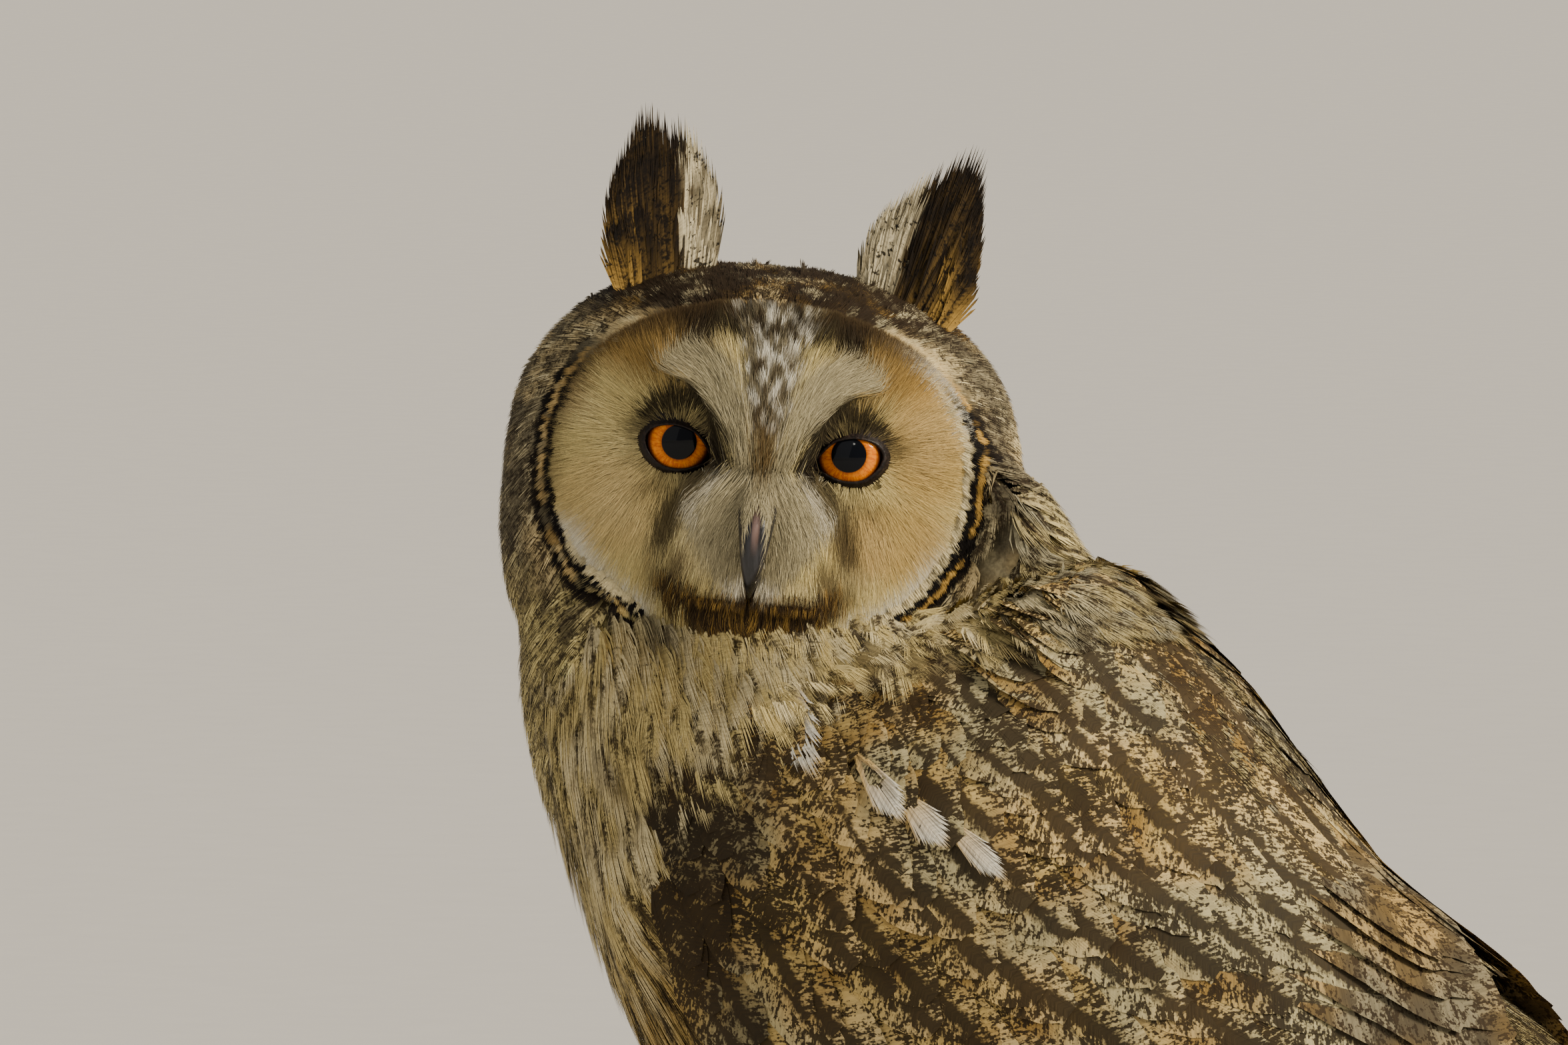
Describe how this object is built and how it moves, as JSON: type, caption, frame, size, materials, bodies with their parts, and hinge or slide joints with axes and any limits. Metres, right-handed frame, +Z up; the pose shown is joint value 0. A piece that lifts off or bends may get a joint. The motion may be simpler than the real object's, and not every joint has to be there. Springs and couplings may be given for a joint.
{
  "type": "long-eared owl display model",
  "caption": "Still, life-size long-eared owl standing on its own feet, wings folded, tail out behind, ear tufts up and head turned over its left shoulder.",
  "frame": {"origin": "on the floor, under the middle of the bird's length and width", "axes": "+Z up, the body faces -X with the tail towards +X, and the bird's left side is -Y, where its face looks"},
  "size_m": [0.3168, 0.1236, 0.2893],
  "materials": {
    "facial_disc": "soft golden-buff disc feathers with white brows and a dark rim",
    "body_feathers": "soft buff feathers with dark streaks",
    "wing_feathers": "matt mottled brown, buff and grey-white feathers",
    "tail_feathers": "matt buff and brown barred feathers",
    "ear_feathers": "matt dark brown feathers with pale edges",
    "leg_feathers": "short soft golden-buff feathers",
    "bill_horn": "smooth dark slate horn, paler along the ridge",
    "claw_horn": "smooth black horn",
    "eye": "wet, glossy orange iris with a black pupil"
  },
  "bodies": {
    "root": {"head": "facial_disc", "neck": "body_feathers", "torso": "body_feathers", "bill_upper": "bill_horn", "bill_lower": "bill_horn", "ear_tuft_left": "ear_feathers", "ear_tuft_right": "ear_feathers", "tail": "tail_feathers", "eye_left": "eye", "eye_right": "eye", "wing_left": "wing_feathers", "wing_right": "wing_feathers", "leg_left": "leg_feathers", "leg_right": "leg_feathers", "foot_left": "leg_feathers", "foot_right": "leg_feathers", "claw_left_inner": "claw_horn", "claw_left_middle": "claw_horn", "claw_left_outer": "claw_horn", "claw_left_hind": "claw_horn", "claw_right_inner": "claw_horn", "claw_right_middle": "claw_horn", "claw_right_outer": "claw_horn", "claw_right_hind": "claw_horn"}
  },
  "joints": []
}
